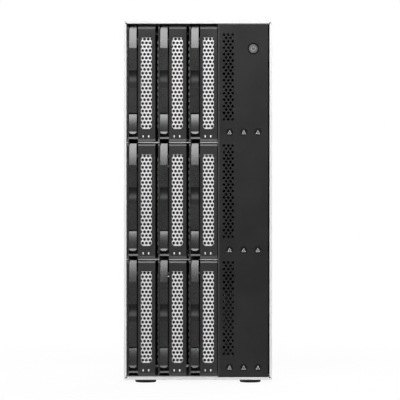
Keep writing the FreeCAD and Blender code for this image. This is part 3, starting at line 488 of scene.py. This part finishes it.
@dataclass(frozen=True)
class Inlay:
    """Light printed mark, with painted shade on the middle that sinks below its raised outline."""

    name: str
    face: float
    colour: float = 0.72
    # painted shade: the colour given to the sunk middle, darker than the ink
    recess_painted_shade: float = 0.12
    ink_scale: float = 1500.0
    ink_tone: float = 0.92
    relief: float = 0.00001

    def material(self) -> bpy.types.Material:
        """Build the finish."""
        bench = Finish(self.name)
        ink = bench.noise(self.ink_scale, 2.0, 0.5)
        # painted shade: mask of the sunk middle, behind the mark's face
        in_shaded_recess = bench.axes()[1] > self.face
        worn = (self.colour * self.ink_tone,) * 3
        tone = bench.mix(ink.smooth(0.3, 0.7), worn, (self.colour,) * 3)
        return bench.set(
            # painted shade: the sunk middle takes the dark tone in place of the ink
            Base_Color=bench.mix(in_shaded_recess, tone, (self.recess_painted_shade,) * 3),
            Roughness=(ink * 0.12 + 0.34).clamped(),
            Normal=bench.bump(ink, 0.2, self.relief),
        )


@dataclass(frozen=True)
class CircuitBoard:
    """Dark green solder mask with tracks and pads, and dark parts standing on it."""

    name: str
    normal_axis: int
    face: tuple[float, float]
    parts: Colour = (0.015, 0.015, 0.016)
    ground: Colour = (0.001, 0.007, 0.004)
    track: Colour = (0.002, 0.014, 0.007)
    solder: Colour = (0.3, 0.26, 0.17)
    lanes: float = 400.0
    crossings: float = 330.0
    pads: float = 190.0
    relief: float = 0.00004

    def material(self) -> bpy.types.Material:
        """Build the finish."""
        bench = Finish(self.name)
        axes = bench.axes()
        depth = axes[self.normal_axis]
        across = axes[1 - self.normal_axis]
        up = axes[2]
        on_board = (depth > self.face[0]) * (depth < self.face[1])
        lane = ((across * self.lanes + (up * 26.0) % 1.0 * 0.2) % 1.0).smooth(0.42, 0.5)
        run = bench.noise(30.0, 0.0, 0.5) > 0.5
        cross = ((up * self.crossings) % 1.0).smooth(0.44, 0.5)
        track = run * lane + (1 - run) * cross
        column, row = ((way * self.pads % 1.0).smooth(0.86, 0.9) for way in (across, up))
        pad = column * row
        mask = bench.mix(track, self.ground, self.track)
        board = bench.mix(pad, mask, self.solder)
        return bench.set(
            Base_Color=bench.mix(on_board, self.parts, board),
            Roughness=(on_board * -0.12 + pad * 0.1 + 0.45).clamped(),
            Normal=bench.bump(track * on_board, 0.3, self.relief),
        )


# ---------------------------------------------------------------- modelling bench

class Turn(Enum):
    """Which way a round piece's axis points."""

    DEEP = (math.pi / 2, 0.0, 0.0)


class Modeller:
    """Starts, shapes and finishes pieces with Blender's own operators."""

    @staticmethod
    def clear() -> None:
        """Leave edit mode and deselect everything."""
        if bpy.context.object and bpy.context.object.mode != "OBJECT":
            bpy.ops.object.mode_set(mode="OBJECT")
        bpy.ops.object.select_all(action="DESELECT")

    @staticmethod
    def bar(name: str, low: Vector, high: Vector) -> bpy.types.Object:
        """Start a box-shaped piece.

        Args:
            name: the piece's name.
            low: its lowest corner, in metres.
            high: its highest corner, in metres.

        Returns:
            The piece, active and selected, with its place in its mesh.
        """
        Modeller.clear()
        low, high = Vector(low), Vector(high)
        bpy.ops.mesh.primitive_cube_add(size=1.0, location=(low + high) / 2, scale=high - low)
        return Modeller.started(name)

    @staticmethod
    def disc(name: str, centre: Vector, radius: float, deep: float, turn: Turn,
             sides: int = 48) -> bpy.types.Object:
        """Start a round piece.

        Args:
            name: the piece's name.
            centre: its middle, in metres.
            radius: its radius, in metres.
            deep: its length along its axis, in metres.
            turn: the way of its axis.
            sides: how many sides it has.

        Returns:
            The piece, active and selected.
        """
        Modeller.clear()
        bpy.ops.mesh.primitive_cylinder_add(
            vertices=sides, radius=radius, depth=deep, location=centre, rotation=turn.value
        )
        return Modeller.started(name)

    @staticmethod
    def started(name: str) -> bpy.types.Object:
        """Name the active primitive and put its place in its mesh."""
        piece = bpy.context.object
        piece.name = name
        piece.data.name = name
        bpy.ops.object.transform_apply(location=True, rotation=True, scale=True)
        return piece

    @staticmethod
    def pick(piece: bpy.types.Object, facing: Vector, reach: float = 0.99) -> None:
        """Enter edit mode with only the faces that point one way selected.

        Args:
            piece: the piece to edit.
            facing: the way that the faces point.
            reach: how nearly they must point that way.
        """
        bpy.context.view_layer.objects.active = piece
        bpy.ops.object.mode_set(mode="EDIT")
        bpy.ops.mesh.select_mode(type="FACE")
        mesh = bmesh.from_edit_mesh(piece.data)
        for face in mesh.faces:
            face.select = face.normal.dot(Vector(facing)) > reach
        mesh.select_flush_mode()
        bmesh.update_edit_mesh(piece.data)

    @staticmethod
    def rounded(piece: bpy.types.Object, width: float, segments: int = 2,
                angle: float = 40.0) -> None:
        """Round a piece's edges with an applied Bevel and smooth its shading.

        Args:
            piece: the piece.
            width: the bevel's width in metres.
            segments: how many facets it has.
            angle: edges sharper than this many degrees are rounded.
        """
        Modeller.clear()
        piece.select_set(True)
        bpy.context.view_layer.objects.active = piece
        bevel = piece.modifiers.new("rounding", "BEVEL")
        bevel.width = width
        bevel.segments = segments
        bevel.limit_method = "ANGLE"
        bevel.angle_limit = math.radians(angle)
        bpy.ops.object.modifier_apply(modifier=bevel.name)
        bpy.ops.object.shade_smooth_by_angle(angle=math.radians(SMOOTH_ANGLE))

    @staticmethod
    def copied(piece: bpy.types.Object, name: str, shift: Vector) -> bpy.types.Object:
        """Copy a piece with a mesh of its own.

        Args:
            piece: the finished piece.
            name: the copy's name.
            shift: how far it is moved, in metres.

        Returns:
            The copy.
        """
        twin = piece.copy()
        twin.data = piece.data.copy()
        twin.name = name
        twin.data.name = name
        twin.data.transform(Matrix.Translation(Vector(shift)))
        bpy.context.scene.collection.objects.link(twin)
        return twin


def paint(piece: bpy.types.Object, material: bpy.types.Material) -> None:
    """Give a piece one material in place of all it had.

    Args:
        piece: the piece or CAD node.
        material: its finish.
    """
    piece.data.materials.clear()
    piece.data.materials.append(material)


def settle(piece: bpy.types.Object, body: str, material: bpy.types.Material) -> None:
    """Paint a new piece and let it ride on a body.

    Args:
        piece: the finished piece.
        body: the body that carries it.
        material: its finish.
    """
    paint(piece, material)
    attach(piece, body)
    LOG.info("%s rides on %s", piece.name, body)


def nodes_named(start: str) -> list[str]:
    """CAD nodes whose names begin with some words, in order."""
    return sorted(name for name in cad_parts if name.startswith(start))


def dress(names: list[str], material: bpy.types.Material) -> None:
    """Give CAD nodes a finish.

    Args:
        names: the nodes.
        material: their finish.
    """
    for name in names:
        paint(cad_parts[name], material)
        LOG.info("%s wears %s", name, material.name)


# ---------------------------------------------------------------- sub-assemblies

@dataclass
class Shell:
    """Silver wrap-around cover and its rubber feet."""

    cover: SilverPaint = SilverPaint("shell_silver")
    pads: Rubber = Rubber("foot_rubber")

    def build(self) -> None:
        """Dress the shell and the feet."""
        dress(["outer_shell"], self.cover.material())
        dress(["feet"], self.pads.material())


@dataclass
class Bays:
    """The nine carriers, with the shelves between them and the light guides in their faces."""

    face: Moulding = Moulding("carrier_moulding", colour=0.02, roughness=0.36)
    lever: Moulding = Moulding(
        "lever_moulding", colour=0.018, roughness=0.27, specular=0.8, grain=0.05, grip=(58.6, 78.2)
    )
    latch: Moulding = Moulding(
        "latch_moulding", colour=0.02, roughness=0.29, specular=0.85, grain=0.05
    )
    strip: BrushedSheet = BrushedSheet("grille_sheet", (0.9,) * 3, 0.38, 0.4, (300.0,) * 3)
    shelf: BrushedSheet = BrushedSheet("shelf_sheet", (0.75, 0.75, 0.76), 0.36, 0.85)
    guide: LightGuide = LightGuide("carrier_light_guide")
    guide_left: tuple[float, float] = (17.4, 23.4)
    guide_wide: tuple[float, float] = (1.2, 1.5)
    guide_height: float = 5.85
    guide_tall: float = 2.4
    guide_deep: float = 3.0
    guide_sink: float = 0.1
    guide_slack: float = 0.06
    guide_rim: float = 0.3
    guide_crown: float = 0.12
    guide_edge: float = 0.15
    grille_corner: Triple = (13.1, 1.6, 11.4)

    def build(self) -> None:
        """Dress every carrier and add its light guides."""
        dress(nodes_named("carrier_frame"), self.face.material())
        dress(nodes_named("ejector_lever"), self.lever.material())
        dress(nodes_named("release_button"), self.latch.material())
        dress(nodes_named("carrier_grille"), self.strip.material())
        dress(["bay_shelf_lower", "bay_shelf_upper", "bay_floor"], self.shelf.material())
        self.add_guides()

    def one_guide(self, name: str, corner: Vector, left: float, wide: float) -> bpy.types.Object:
        """Model one light guide with a softly crowned window.

        Args:
            name: its name.
            corner: the carrier's lower left front corner, in metres.
            left: its middle, in millimetres from that corner.
            wide: its width in millimetres.

        Returns:
            The guide.
        """
        half = wide / 2 - self.guide_slack
        rise = self.guide_tall / 2 - self.guide_slack
        low = corner + Vector((left - half, self.guide_sink, self.guide_height - rise)) * MM
        high = corner + Vector((left + half, self.guide_deep, self.guide_height + rise)) * MM
        guide = Modeller.bar(name, low, high)
        Modeller.pick(guide, (0, -1, 0))
        bpy.ops.mesh.inset(thickness=self.guide_rim * MM)
        bpy.ops.transform.translate(value=(0, -self.guide_crown * MM, 0))
        Modeller.rounded(guide, self.guide_edge * MM)
        return guide

    def add_guides(self) -> None:
        """Model the guides of one carrier and copy them into the rest."""
        material = self.guide.material()
        suffixes = [name.rsplit("_", 1)[1] for name in nodes_named("carrier_frame")]
        offset = Vector(self.grille_corner) * MM
        corners = [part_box(f"carrier_grille_{suffix}")[0] - offset for suffix in suffixes]
        for left, wide, side in zip(self.guide_left, self.guide_wide, ("left", "right")):
            first = self.one_guide(f"light_guide_{side}_{suffixes[0]}", corners[0], left, wide)
            settle(first, f"carrier_{suffixes[0]}", material)
            for suffix, corner in zip(suffixes[1:], corners[1:]):
                twin = Modeller.copied(first, f"light_guide_{side}_{suffix}", corner - corners[0])
                settle(twin, f"carrier_{suffix}", material)


@dataclass
class Bezel:
    """The vented cover with its indicator marks and power button."""

    cover: Moulding = Moulding("bezel_moulding", colour=0.012, roughness=0.36)
    lens: GlossPlastic = GlossPlastic("indicator_lens", (0.003, 0.003, 0.003), 0.3, 0.0)
    button: GlossPlastic = GlossPlastic("power_button_cap", (0.085, 0.085, 0.085), 0.36, 0.15)
    mark_size: float = 4.6
    mark_line: float = 0.8
    mark_sink: float = 0.22
    lens_radius: float = 3.78
    middle_shift: Triple = (-0.03, 0.0, -0.15)
    mark_slack: float = 0.14
    mark_deep: float = 0.5
    mark_inset: float = 0.05
    sign_radius: float = 2.3
    sign_stroke: float = 0.8
    sign_thick: float = 0.24
    sign_inset: float = 0.07
    sign_gap: float = 38.0
    sign_colour: float = 0.3

    def build(self) -> None:
        """Dress the bezel, its lenses and its button, and add the marks."""
        dress(["front_bezel"], self.cover.material())
        dress(["indicator_lenses"], self.lens.material())
        dress(["power_button"], self.button.material())
        lens_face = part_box("indicator_lenses")[0].y
        self.add_triangles(Inlay("indicator_mark", lens_face + self.mark_sink / 2 * MM).material())
        self.add_power_mark(Inlay("power_sign", 0.0, self.sign_colour).material())

    def add_triangles(self, mark: bpy.types.Material) -> None:
        """Fill the pocket of each lens with a hollow triangle.

        Args:
            mark: the marks' finish.
        """
        low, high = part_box("indicator_lenses")
        radius = self.lens_radius * MM
        middle = (low + high) / 2 + Vector(self.middle_shift) * MM
        places = [Vector((x, low.y, z)) for z in (low.z + radius, middle.z, high.z - radius)
                  for x in (low.x + radius, middle.x, high.x - radius)]
        first = self.one_triangle("indicator_mark_1", places[0])
        settle(first, "enclosure", mark)
        for number, place in enumerate(places[1:], 2):
            twin = Modeller.copied(first, f"indicator_mark_{number}", place - places[0])
            settle(twin, "enclosure", mark)

    def one_triangle(self, name: str, centre: Vector) -> bpy.types.Object:
        """Model one hollow triangle that fits its pocket.

        Args:
            name: its name.
            centre: the middle of its lens's front face, in metres.

        Returns:
            The triangle.
        """
        size = (self.mark_size - self.mark_slack) * MM
        deep = self.mark_deep * MM
        tall = size / 1.5
        Modeller.clear()
        bpy.ops.mesh.primitive_cylinder_add(
            vertices=3,
            radius=1.0,
            depth=1.0,
            rotation=Turn.DEEP.value,
            scale=(size / math.sqrt(3), tall, deep),
            location=centre + Vector((0, deep / 2 + self.mark_inset * MM, -tall / 4)),
        )
        piece = Modeller.started(name)
        Modeller.pick(piece, (0, -1, 0))
        bpy.ops.mesh.inset(thickness=self.mark_line * MM)
        bpy.ops.transform.translate(value=(0, self.mark_sink * MM, 0))
        Modeller.rounded(piece, 0.05 * MM, 1)
        return piece

    def add_power_mark(self, mark: bpy.types.Material) -> None:
        """Inlay a plain stand-by sign, an open ring with a stroke, in the button's cap.

        Args:
            mark: the sign's finish.
        """
        low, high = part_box("power_button")
        centre = Vector(((low.x + high.x) / 2, low.y + self.sign_inset * MM, (low.z + high.z) / 2))
        start = math.radians(self.sign_gap)
        out = Vector((math.sin(start), 0, math.cos(start))) * self.sign_radius * MM
        Modeller.clear()
        bpy.ops.mesh.primitive_plane_add(
            size=1.0, location=centre + out, rotation=(0, start - math.pi / 2, 0)
        )
        bpy.context.object.scale = (self.sign_stroke * MM, self.sign_thick * MM, 1.0)
        ring = Modeller.started("power_mark_ring")
        bpy.ops.object.mode_set(mode="EDIT")
        bpy.ops.mesh.select_all(action="SELECT")
        bpy.ops.mesh.spin(steps=44, angle=2 * (math.pi - start), center=centre, axis=(0, -1, 0))
        bpy.ops.mesh.select_all(action="SELECT")
        bpy.ops.mesh.normals_make_consistent(inside=False)
        Modeller.rounded(ring, 0.06 * MM, 1)
        half, thick = self.sign_stroke / 2, self.sign_thick / 2
        stroke = Modeller.bar(
            "power_mark_stroke",
            centre + Vector((-half, -thick, 0.7)) * MM,
            centre + Vector((half, thick, self.sign_radius + 0.9)) * MM,
        )
        Modeller.rounded(stroke, 0.1 * MM)
        settle(ring, "power_button", mark)
        settle(stroke, "power_button", mark)


@dataclass
class Rear:
    """Rear panel, fans, guards, screws and power supply."""

    panel: PowderCoat = PowderCoat("rear_powder_coat")
    fan: Moulding = Moulding("fan_plastic", colour=0.01, roughness=0.4)
    wire: BrushedSheet = BrushedSheet("guard_wire", (0.8,) * 3, 0.18, 1.0, (900.0,) * 3)
    screw: BrushedSheet = BrushedSheet(
        "screw_nickel", (0.62, 0.61, 0.59), 0.28, 1.0, (900.0,) * 3
    )
    box: BrushedSheet = BrushedSheet(
        "supply_zinc", (0.55, 0.56, 0.57), 0.4, 1.0, (200.0, 200.0, 40.0)
    )
    port: BrushedSheet = BrushedSheet(
        "port_shell", (0.66, 0.65, 0.63), 0.3, 1.0, (900.0, 100.0, 900.0)
    )
    foil: BrushedSheet = BrushedSheet(
        "hub_foil", (0.75, 0.75, 0.76), 0.24, 1.0, (1400.0, 40.0, 1400.0)
    )
    hub_radius: float = 15.4
    foil_radius: float = 11.6
    cap_steps: tuple[float, ...] = (0.2, 0.6, 2.2, 0.3, 0.25)
    foil_steps: tuple[float, ...] = (0.3, 0.2, 1.0, 0.2, 0.03)
    disc_sides: int = 64
    disc_edge: float = 25.0
    collar_radius: float = 4.75
    collar_long: float = 5.2
    collar_inset: float = 1.3
    collar_sides: int = 48
    ridge: float = 0.22
    thumbscrews: tuple[tuple[float, float], ...] = (
        (-73.2, 131.0), (-73.2, 262.0), (73.2, 131.0), (73.2, 262.0), (24.0, 385.2), (24.0, 11.4),
    )

    def build(self) -> None:
        """Dress everything that shows from behind, and add the hub caps and the screws' collars."""
        dress(["rear_panel"], self.panel.material())
        dress(["fan_frames", "psu_fan_rotor"] + nodes_named("fan_rotor"), self.fan.material())
        dress(["fan_guards"], self.wire.material())
        dress(["panel_screws"], self.screw.material())
        dress(["power_supply"], self.box.material())
        dress(["io_ports"], self.port.material())
        self.add_hub_caps()
        self.add_collars()

    def add_hub_caps(self) -> None:
        """Set a stepped cap with a bare foil disc on the hub of every rear fan."""
        cap_finish, foil_finish = self.fan.material(), self.foil.material()
        names = nodes_named("fan_rotor")
        ends = []
        for name in names:
            low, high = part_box(name)
            ends.append(Vector(((low.x + high.x) / 2, high.y, (low.z + high.z) / 2)))
        cap = self.stepped_disc("hub_cap", ends[0], self.hub_radius, self.cap_steps)
        Modeller.rounded(cap, 0.1 * MM, 2, self.disc_edge)
        foil = self.stepped_disc("hub_foil", ends[0], self.foil_radius, self.foil_steps)
        Modeller.rounded(foil, 0.03 * MM, 1, self.disc_edge)
        for name, end in zip(names, ends):
            level = name.rsplit("_", 1)[1]
            for piece, finish, slot in (
                (cap, cap_finish, "fan_black"), (foil, foil_finish, "guard_chrome"),
            ):
                twin = Modeller.copied(piece, f"{piece.name}_{level}", end - ends[0])
                settle(twin, f"fan_{level}", finish)
        for piece in (cap, foil):
            bpy.data.objects.remove(piece)

    def stepped_disc(self, name: str, end: Vector, radius: float,
                     steps: tuple[float, ...]) -> bpy.types.Object:
        """Model one disc with a shallow step in its rear face.

        Args:
            name: its name.
            end: the middle of the hub's rear face, in metres.
            radius: its radius in millimetres.
            steps: how far it stands off the face, its thickness, its rim's width,
                and the width and depth of its step, in millimetres.

        Returns:
            The disc, still in edit mode.
        """
        off, thick, rim, width, depth = steps
        middle = end + Vector((0, off, 0)) * MM
        disc = Modeller.disc(name, middle, radius * MM, thick * MM, Turn.DEEP, self.disc_sides)
        Modeller.pick(disc, (0, 1, 0))
        bpy.ops.mesh.inset(thickness=rim * MM)
        bpy.ops.mesh.inset(thickness=width * MM, depth=-depth * MM)
        return disc

    def add_collars(self) -> None:
        """Put a knurled collar round the head of every thumbscrew."""
        finish = self.screw.material()
        _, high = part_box("panel_screws")
        middle = high.y - (self.collar_inset + self.collar_long / 2) * MM
        first = None
        for number, (x, z) in enumerate(self.thumbscrews, 1):
            place = Vector((x * MM, middle, z * MM))
            name = f"thumbscrew_collar_{number}"
            if first is None:
                piece, start = self.one_collar(name, place), place
                first = piece
            else:
                piece = Modeller.copied(first, name, place - start)
            settle(piece, "enclosure", finish)

    def one_collar(self, name: str, place: Vector) -> bpy.types.Object:
        """Model one collar, with every other facet raised to a ridge.

        Args:
            name: its name.
            place: its middle, in metres.

        Returns:
            The collar.
        """
        radius, long = self.collar_radius * MM, self.collar_long * MM
        collar = Modeller.disc(name, place, radius, long, Turn.DEEP, self.collar_sides)
        Modeller.pick(collar, (0, 1, 0))
        mesh = bmesh.from_edit_mesh(collar.data)
        for face in mesh.faces:
            offset = face.calc_center_median() - place
            turn = math.degrees(math.atan2(offset.z, offset.x)) * self.collar_sides / 360.0
            face.select = abs(face.normal.y) < 0.5 and round(turn - 0.5) % 2 == 0
        mesh.select_flush_mode()
        bmesh.update_edit_mesh(collar.data)
        bpy.ops.mesh.inset(thickness=0.06 * MM, depth=self.ridge * MM, use_individual=True)
        Modeller.rounded(collar, 0.05 * MM, 1, 50.0)
        return collar


@dataclass
class Inside:
    """Cage, rails, boards and sockets behind the carriers."""

    cage: PowderCoat = PowderCoat("cage_powder_coat", 0.02)
    rail: Moulding = Moulding("rail_nylon", colour=0.01, roughness=0.5)
    socket: Moulding = Moulding("socket_plastic", colour=0.008, roughness=0.35)
    board_thick: float = 1.6
    board_slack: float = 0.1
    controller_x: float = 72.0

    def build(self) -> None:
        """Dress the hidden pieces."""
        dress(["drive_cage"], self.cage.material())
        dress(["guide_rails"], self.rail.material())
        dress(["backplane_connectors"], self.socket.material())
        boards = (("backplane_board", 1), ("front_panel_board", 1), ("controller_board", 0))
        for name, axis in boards:
            sheet, slack = self.board_thick * MM, self.board_slack * MM
            start = self.controller_x * MM if axis == 0 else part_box(name)[1].y - sheet
            face = (start - slack, start + sheet + slack)
            dress([name], CircuitBoard(f"{name}_mask", axis, face).material())


@dataclass(frozen=True)
class Lamp:
    """One rectangular lamp: its place and size in metres, its watts and what it shines at."""

    name: str
    place: Triple
    size: tuple[float, float]
    power: float
    aim: Triple | None = None

    def hang(self, middle: Vector) -> None:
        """Hang the lamp.

        Args:
            middle: what it shines at where it has no aim of its own.
        """
        data = bpy.data.lights.new(self.name, "AREA")
        data.shape = "RECTANGLE"
        data.size, data.size_y = self.size
        data.energy = self.power
        lamp = bpy.data.objects.new(self.name, data)
        lamp.location = self.place
        way = Vector(self.aim or middle) - Vector(self.place)
        lamp.rotation_euler = way.to_track_quat("-Z", "Y").to_euler()
        bpy.context.scene.collection.objects.link(lamp)


@dataclass
class Studio:
    """Plain pale floor, white surroundings, soft lamps and the camera."""

    distance: float = 3.0
    framed: float = 0.434
    aim_x: float = 0.0022
    aim_z: float = 0.1986
    sensor: float = 36.0
    far: float = 50.0
    ambient: float = 0.3
    front_gloss: float = 0.08
    front_edge: tuple[float, float] = (-0.8, -0.2)
    lift: float = 0.93
    fade: tuple[float, float] = (0.25, 0.9)
    # painted shade: the floor's tone where reflections from the front see it
    floor_gloss: float = 0.16
    floor_size: float = 14.0
    floor_tone: float = 0.85
    floor_rough: float = 0.9
    floor_front: tuple[float, float] = (-0.3, 0.1)
    lamps: tuple[Lamp, ...] = (
        Lamp("front_softbox", (-0.1, -1.6, 1.45), (1.2, 1.1), 32.0),
        Lamp("left_fill", (-2.0, -1.4, 0.5), (1.0, 1.4), 11.0),
        Lamp("right_fill", (2.2, -1.2, 0.5), (1.0, 1.4), 8.0),
        Lamp("rear_fill", (0.6, 2.2, 1.4), (1.4, 1.4), 30.0, (0.0, 0.1, 0.2)),
    )

    def build(self) -> None:
        """Set up the surroundings."""
        scene = bpy.context.scene
        scene.view_settings.view_transform = "Standard"
        self.add_floor()
        self.add_world()
        self.add_lamps()
        self.add_camera()

    def add_floor(self) -> None:
        """A wide pale floor that fades to white away from the feet and keeps their shadow, painted
        dark where reflections see it in front, as painted shade in those reflections.
        """
        Modeller.clear()
        bpy.ops.mesh.primitive_plane_add(size=self.floor_size, location=(0, 0, 0))
        floor = bpy.context.object
        floor.name = "studio_floor"
        finish = Finish("studio_floor")
        depth = finish.axes()[1]
        # painted shade: in front of the bays the floor is darker in reflections than its lit colour
        painted_reflection_shade = finish.ray("Glossy") * (1 - depth.smooth(*self.floor_front))
        tone = finish.mix(painted_reflection_shade, (self.floor_tone,) * 3, (self.floor_gloss,) * 3)
        finish.set(Base_Color=tone, Roughness=self.floor_rough)
        away = finish.node("ShaderNodeVectorMath", {"operation": "LENGTH"}, {0: finish.place})
        fade = Value(finish, away.outputs["Value"]).smooth(*self.fade)
        white = finish.node("ShaderNodeEmission", {}, {"Color": (1.0, 1.0, 1.0), "Strength": 1.0})
        share = finish.ray("Camera", "Transmission") * (fade * (1 - self.lift) + self.lift)
        share = share + finish.ray("Glossy") * depth.smooth(*self.floor_front)
        mix = finish.node("ShaderNodeMixShader", {},
                          {0: share, 1: finish.shader.outputs[0], 2: white.outputs[0]})
        finish.feed(finish.output.inputs["Surface"], mix.outputs[0])
        paint(floor, finish.material)

    def add_world(self) -> None:
        """White to the eye and in gloss, dim in gloss from the front, grey light on the rest."""
        world = bpy.data.worlds.new("studio_world")
        bpy.context.scene.world = world
        bench = Bench(world)
        heading = bench.node("ShaderNodeTexCoord").outputs["Generated"]
        depth = Value(bench, bench.node("ShaderNodeSeparateXYZ", {}, {0: heading}).outputs[1])
        behind = depth.smooth(*self.front_edge)
        seen = bench.ray("Camera", "Transmission")
        gloss = bench.ray("Glossy")
        strength = (seen + gloss * (behind * (1 - self.front_gloss) + self.front_gloss)
                    + (1 - seen - gloss).clamped() * self.ambient)
        white = bench.node(
            "ShaderNodeBackground", {}, {"Color": (1.0, 1.0, 1.0), "Strength": strength}
        )
        bench.node("ShaderNodeOutputWorld", {}, {"Surface": white.outputs[0]})

    def add_lamps(self) -> None:
        """One large lamp above and in front, and weak fills at the sides and behind."""
        middle = Vector((0, CAD_BOX[0].y, 0.2))
        for lamp in self.lamps:
            lamp.hang(middle)

    def add_camera(self) -> None:
        """A long lens straight in front of the bays."""
        front = CAD_BOX[0].y
        data = bpy.data.cameras.new("front_camera")
        data.sensor_width = self.sensor
        data.lens = data.sensor_width * self.distance / self.framed
        data.clip_end = self.far
        camera = bpy.data.objects.new("front_camera", data)
        camera.location = (self.aim_x, front - self.distance, self.aim_z)
        camera.rotation_euler = (math.pi / 2, 0, 0)
        bpy.context.scene.collection.objects.link(camera)
        bpy.context.scene.camera = camera


def main() -> None:
    """Build the studio and every sub-assembly in order."""
    logging.basicConfig(level=logging.INFO, format="%(name)s: %(message)s")
    for part in (Studio(), Shell(), Bays(), Bezel(), Rear(), Inside()):
        LOG.info("building %s", type(part).__name__)
        part.build()


if __name__ == "__main__":
    main()
